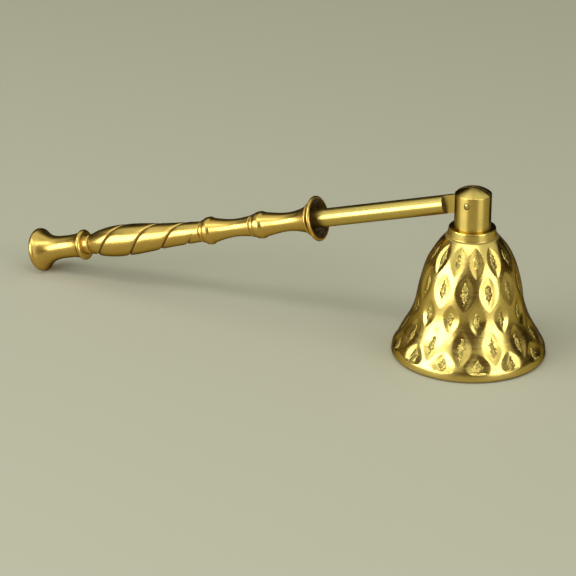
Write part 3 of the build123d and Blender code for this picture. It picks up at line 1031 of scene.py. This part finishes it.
def make_socket(handle, seam, sizes):
    """The trumpet socket: a ring of outline with a lip, a step ring, a narrow waist, a bead and a bore.

    Only the hollow inside the mouth is painted dark, as shade with tarnishing, from a little outside its radius
    inwards.
    """
    mouth, end, lip = handle.mouth, handle.link_start, sizes.mouth_lip
    top = sizes.mouth_radius - lip
    ring_start = mouth + sizes.flare_length
    ring_end = ring_start + sizes.ring_width
    ring_foot = sizes.ring_radius - sizes.ring_width / 2
    bead_start = end - seam.collar_length - sizes.bead_length
    waist = ring_end + sizes.waist * (bead_start - ring_end)
    bore = handle.rod_radius + FIT_GAP
    slant = lip * math.sin(math.radians(45))
    behind_lip = (mouth + lip + slant, top + slant)
    flare = neck(behind_lip, (ring_start, ring_foot), sizes.lip_slope, sizes.flare_slope)
    outline = np.vstack(
        [
            arc((mouth, top), (mouth + lip, sizes.mouth_radius), flare[0]),
            flare,
            arc(
                (ring_start, ring_foot),
                (ring_start + sizes.ring_width / 2, sizes.ring_radius),
                (ring_end, ring_foot),
            ),
            waisted(
                (ring_end, sizes.trumpet_radius),
                (waist, sizes.waist_radius),
                (bead_start, sizes.tail_radius),
                sizes.trumpet_slope,
                sizes.tail_slope,
            ),
            beaded_seam(end, handle.stud_bore, seam, sizes),
            straight(
                (handle.rod_end, handle.stud_bore),
                (handle.rod_end, bore),
                (mouth + sizes.cone_depth, bore),
                (mouth, sizes.mouth_bore),
            ),
        ]
    )
    outline = worn(outline, handle.corner_round, SLEEVE_ROW, closed=True)
    distance, radius = outline.T
    # The mouth's hollow is painted dark as shade with tarnishing, and the grooves get tarnishing and painted shade
    cone = np.interp(distance - mouth, [0, sizes.cone_depth], [sizes.mouth_bore, bore])
    inside = (distance < mouth + sizes.cone_depth) & (radius < cone + FIT_GAP)
    depth = np.clip((sizes.hollow - radius) / HOLLOW_FADE + 1, 0, 1) * inside
    recess = np.maximum(depth[:, None], hollows(outline))
    return turned("Trumpet_socket", outline, on_handle, closed=True, recess=recess)


def make_link(handle, seam, sizes):
    """The waist link: a ring of outline with a narrow waist and a bead."""
    start, end = handle.link_start, handle.grip_start
    body_start = start + seam.groove
    body_end = end - seam.collar_length - sizes.bead_length
    outline = np.vstack(
        [
            open_seam(start, sizes.front_radius, handle.stud_bore, seam),
            waisted(
                (body_start, sizes.front_radius),
                (body_start + sizes.waist * (body_end - body_start), sizes.waist_radius),
                (body_end, sizes.tail_radius),
                sizes.front_slope,
                sizes.tail_slope,
            ),
            beaded_seam(end, handle.stud_bore, seam, sizes),
        ]
    )
    outline = worn(outline, handle.corner_round, SLEEVE_ROW, closed=True)
    # Tarnishing and painted shade in the hollows
    return turned("Waist_link", outline, on_handle, closed=True, recess=hollows(outline))


def make_knob(handle, seam, sizes):
    """The end knob: a bead, a neck and a flare with a round lip, closed by a shallow domed face."""
    start, end = handle.knob_start, handle.handle_end
    bead_start = start + sizes.bead_gap
    bead_end = bead_start + sizes.bead_length
    crest_at = bead_start + sizes.crest * sizes.bead_length
    lip_centre, lip_offset = end - sizes.lip, sizes.flare_radius - sizes.lip
    rise = sizes.lip * math.sin(math.radians(45))
    lip_start = (lip_centre - rise, lip_offset + rise)
    back = bead(-bead_end, sizes.bead_foot, -crest_at, sizes.bead_radius, -bead_start, sizes.front_radius)
    outline = np.vstack(
        [
            open_seam(start, sizes.front_radius, 0.0, seam),
            (back * (-1, 1))[::-1],
            waisted(
                (bead_end, sizes.bead_foot),
                (bead_end + sizes.waist * (lip_start[0] - bead_end), sizes.neck_radius),
                lip_start,
                sizes.neck_slope,
                sizes.lip_slope,
            ),
            arc(lip_start, (lip_centre, sizes.flare_radius), (end, lip_offset)),
            arc(
                (end, lip_offset),
                (end + 0.75 * sizes.face_rise, lip_offset / 2),
                (end + sizes.face_rise, 0),
            ),
        ]
    )
    outline = worn(outline, handle.corner_round, SLEEVE_ROW)
    # Tarnishing and painted shade in the hollows
    return turned("End_knob", outline, on_handle, recess=hollows(outline))


class SNUFFER_OT_sleeves(bpy.types.Operator):
    """Builds the trumpet socket, the waist link and the end knob"""

    bl_idname = "snuffer.sleeves"
    bl_label = "Turned sleeves and knob"

    def execute(self, context):
        scene = context.scene
        material = brass(
            "Turned handle brass",
            roughness=0.30,
            marks=(2200.0, 5.0),
            mark_depth=0.006 * MM,
            anisotropy=0.3,
            warm=0.5,
        )
        for make, sizes, node in (
            (make_socket, scene.snuffer_socket, "trumpet_socket"),
            (make_link, scene.snuffer_link, "waist_link"),
            (make_knob, scene.snuffer_knob, "end_knob"),
        ):
            piece = make(scene.snuffer_handle, scene.snuffer_seam, sizes)
            finish_piece(piece, material, "handle", node)
        return {"FINISHED"}


# The spiral grip

# Its swell from the front: shares of its length and of the rise from its front to its belly
GRIP_SHARES = (
    (0.00, 0.00), (0.14, 0.19), (0.30, 0.38), (0.44, 0.66), (0.58, 0.91),
    (0.73, 1.00), (0.84, 0.84), (0.93, 0.48), (1.00, 0.04),
)

# Its mesh: how many columns, how strongly they gather at the grooves, and the length of a row
GRIP_COLUMNS = 176
GATHERING = 0.36
GRIP_ROW = 0.36 * MM

# Where the grooves start to sink and are full, and start to fade and are gone, from the plain ends
SINKING = (-0.6 * MM, 2.4 * MM)
FADING = (-0.4 * MM, 0.3 * MM)

# In how many steps the winding is summed, and how closely the tarnishing and painted shade keep to the grooves'
# middles
WINDING_STEPS = 600
TARNISH_SHADE_POWER = 1.5


def make_grip(handle, seam, sizes):
    """The spiral grip: a swelling ring of outline whose columns wind round it with the two grooves.

    At each distance the first groove's direction is its phase plus the sum, along the grip, of the
    tangent of its angle over the radius. A groove is a narrow bell curve of depth at that direction
    and half a turn from it, on a wide shallow one that leaves the bands between them rounded.
    """
    start, end = handle.grip_start, handle.knob_start
    front, groove = sizes.front_radius, seam.groove
    body, swell = end - start - 2 * groove, sizes.belly_radius - front
    skin = curve_through([(start + groove + body * x, front + swell * y) for x, y in GRIP_SHARES])
    outline = np.vstack(
        [
            straight((start, handle.stud_bore), (start, front - groove)),
            skin,
            straight((end, skin[-1, 1] - groove), (end, handle.stud_bore)),
        ]
    )
    outline = worn(outline, handle.corner_round, GRIP_ROW, closed=True)
    distance, radius = outline.T
    plain = start + sizes.collar_length
    steps = np.linspace(start, end, WINDING_STEPS)
    pace = math.tan(sizes.groove_angle) / np.interp(steps, *skin.T)
    wound = np.append(0.0, np.cumsum((pace[1:] + pace[:-1]) / 2 * np.diff(steps)))
    wound += sizes.groove_phase - np.interp(plain, steps, wound)
    spin = np.interp(distance, steps, wound)[:, None]
    even = np.linspace(0, FULL_TURN, GRIP_COLUMNS, endpoint=False)[None, :]
    off = even - GATHERING * np.sin(2 * even)
    aside = ((off + math.pi / 2) % math.pi - math.pi / 2) * radius[:, None]
    tail = end - sizes.tail_length
    ends = [plain + SINKING[0], plain + SINKING[1], tail + FADING[0], tail + FADING[1]]
    outer = radius > handle.stud_bore + 1 * MM
    fade = (np.interp(distance, ends, [0, 1, 1, 0]) * outer)[:, None]
    narrow = np.exp(-((aside / (sizes.groove_width / 2)) ** 2))
    wide = np.exp(-((aside / (sizes.band_width / 2)) ** 2))
    depth = fade * (sizes.groove_depth * narrow + sizes.band_depth * wide)
    points = on_handle(distance[:, None] + 0 * off, radius[:, None] - depth, off + spin)
    # Tarnishing and painted shade down the grooves' middles and in the hollows
    recess = np.maximum(hollows(outline), fade * narrow**TARNISH_SHADE_POWER)
    return grid_piece("Spiral_grip", points, closed=True, recess=recess)


class SNUFFER_OT_grip(bpy.types.Operator):
    """Builds the spiral grip"""

    bl_idname = "snuffer.grip"
    bl_label = "Spiral grip"

    def execute(self, context):
        scene = context.scene
        piece = make_grip(scene.snuffer_handle, scene.snuffer_seam, scene.snuffer_grip)
        material = brass(
            "Brushed grip brass",
            roughness=0.28,
            marks=(40.0, 140.0),
            mark_depth=0.008 * MM,
            anisotropy=0.2,
            warm=0.5,
            turn_marks=0.25,
        )
        finish_piece(piece, material, "handle", "spiral_grip")
        return {"FINISHED"}


# The stage

# Each lamp's name, bearing, elevation, distance, width, height and radiance, in degrees and metres
LAMPS = (
    ("Left_softbox", -37.0, 15.0, 1.1, 1.06, 0.60, 6.4),
    ("Top_softbox", 0.0, 64.0, 1.1, 1.3, 0.34, 3.2),
    ("Right_softbox", 70.0, 15.0, 1.2, 0.64, 0.66, 4.6),
)
LAMP_TINT = (0.88, 1.0, 1.15)

# The way to the room's back, and how far along it the back starts and is full
BACKWARD = (-0.2, 1.0, 0.0)
TURN_TO_BACK = (0.0, 0.35)

# The heights between which dim room becomes pale ceiling, in front and at the back
FRONT_CEILING = (0.34, 0.50)
BACK_CEILING = (0.78, 0.86)

# What X adds to a direction's height in front, so that the ceiling starts higher on the left, and what
# X without its sign adds, so that the ceiling starts higher at both sides and the back is narrower
LEFT_TILT = 0.1
SIDE_TILT = -0.2

# Between which places at the camera's sides the back ceiling's edge sinks, and from and to how much
BACK_SINK = (0.35, 0.65, 0.0, 0.35)

# The dark wedge towards the camera: its edges, how much it narrows upwards and how fast it ends behind
WEDGE = (0.34, 0.58)
WEDGE_NARROWING = 0.88
WEDGE_END = 3.0

SENSOR_WIDTH = 36.0
CLIP_END = 50.0


def spot(direction, elevation, distance):
    """The place at a bearing, a height angle and a distance from the object's middle, and that middle.

    A bearing of zero is straight in front, and bearings grow towards +X.
    """
    level = math.cos(elevation)
    place = np.array([math.sin(direction) * level, -math.cos(direction) * level, math.sin(elevation)])
    middle = (np.array(CAD_BOX[0]) + np.array(CAD_BOX[1])) / 2
    return middle + distance * place, middle


def hang_lamp(name, bearing, elevation, distance, width, height, radiance):
    """A rectangular soft lamp that faces the object, as bright as the radiance whatever its size."""
    place, middle = spot(math.radians(bearing), math.radians(elevation), distance)
    data = bpy.data.lights.new(name, "AREA")
    data.shape = "RECTANGLE"
    data.size, data.size_y = width, height
    data.energy = radiance * math.pi * width * height
    data.color = LAMP_TINT
    light = bpy.data.objects.new(name, data)
    light.location = place
    light.rotation_euler = Vector(middle - place).to_track_quat("-Z", "Y").to_euler()
    bpy.context.scene.collection.objects.link(light)


def lay_floor(studio):
    """A square of plain pale floor."""
    half = studio.floor_size / 2
    corners = [(-half, -half, 0), (half, -half, 0), (half, half, 0), (-half, half, 0)]
    mesh = bpy.data.meshes.new("Floor")
    mesh.from_pydata(corners, [], [(0, 1, 2, 3)])
    floor = bpy.data.objects.new("Floor", mesh)
    bpy.context.scene.collection.objects.link(floor)
    material = bpy.data.materials.new("Pale floor")
    tree = bare_tree(material)
    inputs = {"Base Color": (*studio.floor, 1.0), "Roughness": 0.8, "Specular IOR Level": 0.2}
    shader = joined(tree, "ShaderNodeBsdfPrincipled", inputs)
    joined(tree, "ShaderNodeOutputMaterial", {"Surface": shader.outputs[0]})
    mesh.materials.append(material)


def light_room(studio):
    """The world: a dim room, darkest behind the object, under a pale ceiling.

    The ceiling starts higher behind the object than in front of it, and a dark wedge, narrower
    higher up, leaves it out straight towards where the camera stands.
    """
    world = bpy.data.worlds.new("Dim room")
    bpy.context.scene.world = world
    tree = bare_tree(world)
    direction = joined(tree, "ShaderNodeTexCoord", {}).outputs["Generated"]
    parts = joined(tree, "ShaderNodeSeparateXYZ", {"Vector": direction}).outputs
    side, forth = math.cos(studio.azimuth), math.sin(studio.azimuth)
    aside = unsigned(along(direction, (side, forth, 0.0)))
    toward = along(direction, (forth, -side, 0.0))
    spread = times(unsigned(parts["X"]), SIDE_TILT)
    behind = ranged(plus(along(direction, BACKWARD), spread), *TURN_TO_BACK)
    front = ranged(plus(plus(parts["Z"], times(parts["X"], LEFT_TILT)), spread), *FRONT_CEILING)
    back = ranged(plus(parts["Z"], ranged(aside, *BACK_SINK)), *BACK_CEILING)
    raised = plus(times(minus(back, front), behind), front, clamp=True)
    narrowed = worked("DIVIDE", aside, minus(1.0, times(parts["Z"], WEDGE_NARROWING)))
    beside = minus(narrowed, times(worked("MINIMUM", toward, 0.0), WEDGE_END))
    raised = times(raised, ranged(beside, *WEDGE))
    room = blended(raised, blended(behind, studio.room, studio.back), studio.ceiling)
    shade = joined(tree, "ShaderNodeBackground", {"Color": room, "Strength": 1.0})
    joined(tree, "ShaderNodeOutputWorld", {"Surface": shade.outputs[0]})


def set_camera(studio):
    """The camera, at its distance from the point that it looks at."""
    camera = bpy.data.cameras.new("Camera")
    camera.lens = studio.lens
    camera.sensor_width = SENSOR_WIDTH
    camera.clip_end = CLIP_END
    viewer = bpy.data.objects.new("Camera", camera)
    aim = np.array([studio.aim_x, 0.0, studio.aim_z])
    level = math.cos(studio.elevation)
    back = np.array(
        [math.sin(studio.azimuth) * level, -math.cos(studio.azimuth) * level, math.sin(studio.elevation)]
    )
    viewer.location = aim + studio.distance * back
    viewer.rotation_euler = Vector(-back).to_track_quat("-Z", "Y").to_euler()
    bpy.context.scene.collection.objects.link(viewer)
    bpy.context.scene.camera = viewer


class SNUFFER_OT_stage(bpy.types.Operator):
    """Lays the floor, hangs the lamps and sets the camera"""

    bl_idname = "snuffer.stage"
    bl_label = "Stage"

    def execute(self, context):
        studio = context.scene.snuffer_studio
        lay_floor(studio)
        for lamp in LAMPS:
            hang_lamp(*lamp)
        light_room(studio)
        set_camera(studio)
        context.scene.view_settings.view_transform = "Standard"
        return {"FINISHED"}


class SNUFFER_PT_panel(bpy.types.Panel):
    """Lists the sizes, the colours and the steps"""

    bl_idname = "SNUFFER_PT_panel"
    bl_label = "Candle Snuffer"
    bl_space_type = "VIEW_3D"
    bl_region_type = "UI"
    bl_category = "Snuffer"

    def draw(self, context):
        for name, group in GROUPS.items():
            box = self.layout.box()
            box.label(text=group.__doc__.rstrip("."))
            for field in group.__annotations__:
                box.prop(getattr(context.scene, name), field)
        for step in OPERATORS:
            self.layout.operator(step.bl_idname)


GROUPS = {
    "snuffer_bell": BellSizes,
    "snuffer_post": PostSizes,
    "snuffer_handle": HandleSizes,
    "snuffer_seam": SeamSizes,
    "snuffer_socket": SocketSizes,
    "snuffer_link": LinkSizes,
    "snuffer_grip": GripSizes,
    "snuffer_knob": KnobSizes,
    "snuffer_colours": MetalColours,
    "snuffer_studio": StudioSettings,
}
OPERATORS = (
    SNUFFER_OT_bell,
    SNUFFER_OT_post,
    SNUFFER_OT_fasteners,
    SNUFFER_OT_rod,
    SNUFFER_OT_sleeves,
    SNUFFER_OT_grip,
    SNUFFER_OT_stage,
)


def register():
    """Registers the groups, the steps and the panel."""
    for group in GROUPS.values():
        bpy.utils.register_class(group)
    for step in OPERATORS:
        bpy.utils.register_class(step)
    bpy.utils.register_class(SNUFFER_PT_panel)
    for name, group in GROUPS.items():
        setattr(bpy.types.Scene, name, PointerProperty(type=group))


def unregister():
    """Takes them away again, in the other order."""
    for name in GROUPS:
        delattr(bpy.types.Scene, name)
    bpy.utils.unregister_class(SNUFFER_PT_panel)
    for step in reversed(OPERATORS):
        bpy.utils.unregister_class(step)
    for group in reversed(GROUPS.values()):
        bpy.utils.unregister_class(group)


def main():
    """Registers the add-on and builds every piece and the stage."""
    register()
    bpy.ops.snuffer.bell()
    bpy.ops.snuffer.post()
    bpy.ops.snuffer.fasteners()
    bpy.ops.snuffer.rod()
    bpy.ops.snuffer.sleeves()
    bpy.ops.snuffer.grip()
    bpy.ops.snuffer.stage()


if __name__ == "__main__":
    main()
